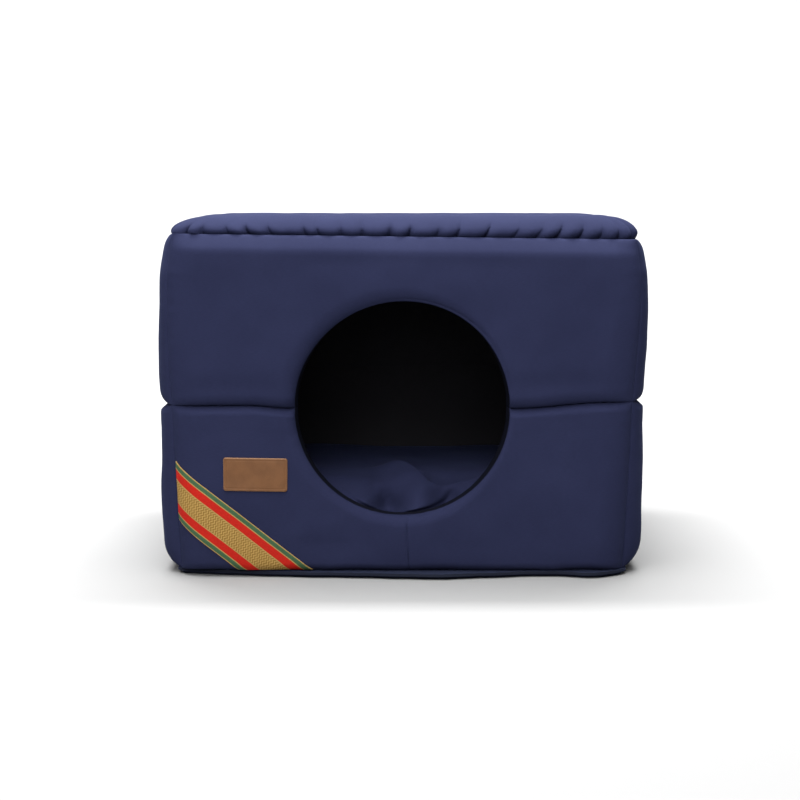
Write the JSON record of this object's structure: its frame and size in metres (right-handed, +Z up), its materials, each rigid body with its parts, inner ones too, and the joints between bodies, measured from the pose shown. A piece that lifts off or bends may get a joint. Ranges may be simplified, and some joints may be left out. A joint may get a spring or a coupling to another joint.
{
  "type": "pet igloo bed",
  "caption": "Square padded fabric pet house with a round front door, a gathered puffy roof pad, rolled padded walls and a loose cushion inside.",
  "frame": {"origin": "on the floor, under the middle of the bed", "axes": "+Z up; -Y is the front, where the door is; +X is the right-hand side seen from the front"},
  "size_m": [0.5023, 0.5044, 0.3706],
  "materials": {
    "navy_fabric": "smooth closely woven polyester, soft sheen",
    "base_fabric": "dark matt woven base cloth",
    "trim_fabric": "woven striped ribbon",
    "patch_leather": "smooth tan leather, darker cut edge"
  },
  "bodies": {
    "root": {"base": "base_fabric", "front_lower_left": "navy_fabric", "front_lower_right": "navy_fabric", "front_upper": "navy_fabric", "left_lower": "navy_fabric", "left_upper": "navy_fabric", "right_lower": "navy_fabric", "right_upper": "navy_fabric", "back_lower": "navy_fabric", "back_upper": "navy_fabric", "roof": "navy_fabric", "cushion": "navy_fabric", "ribbon": "trim_fabric", "patch": "patch_leather"}
  },
  "joints": []
}
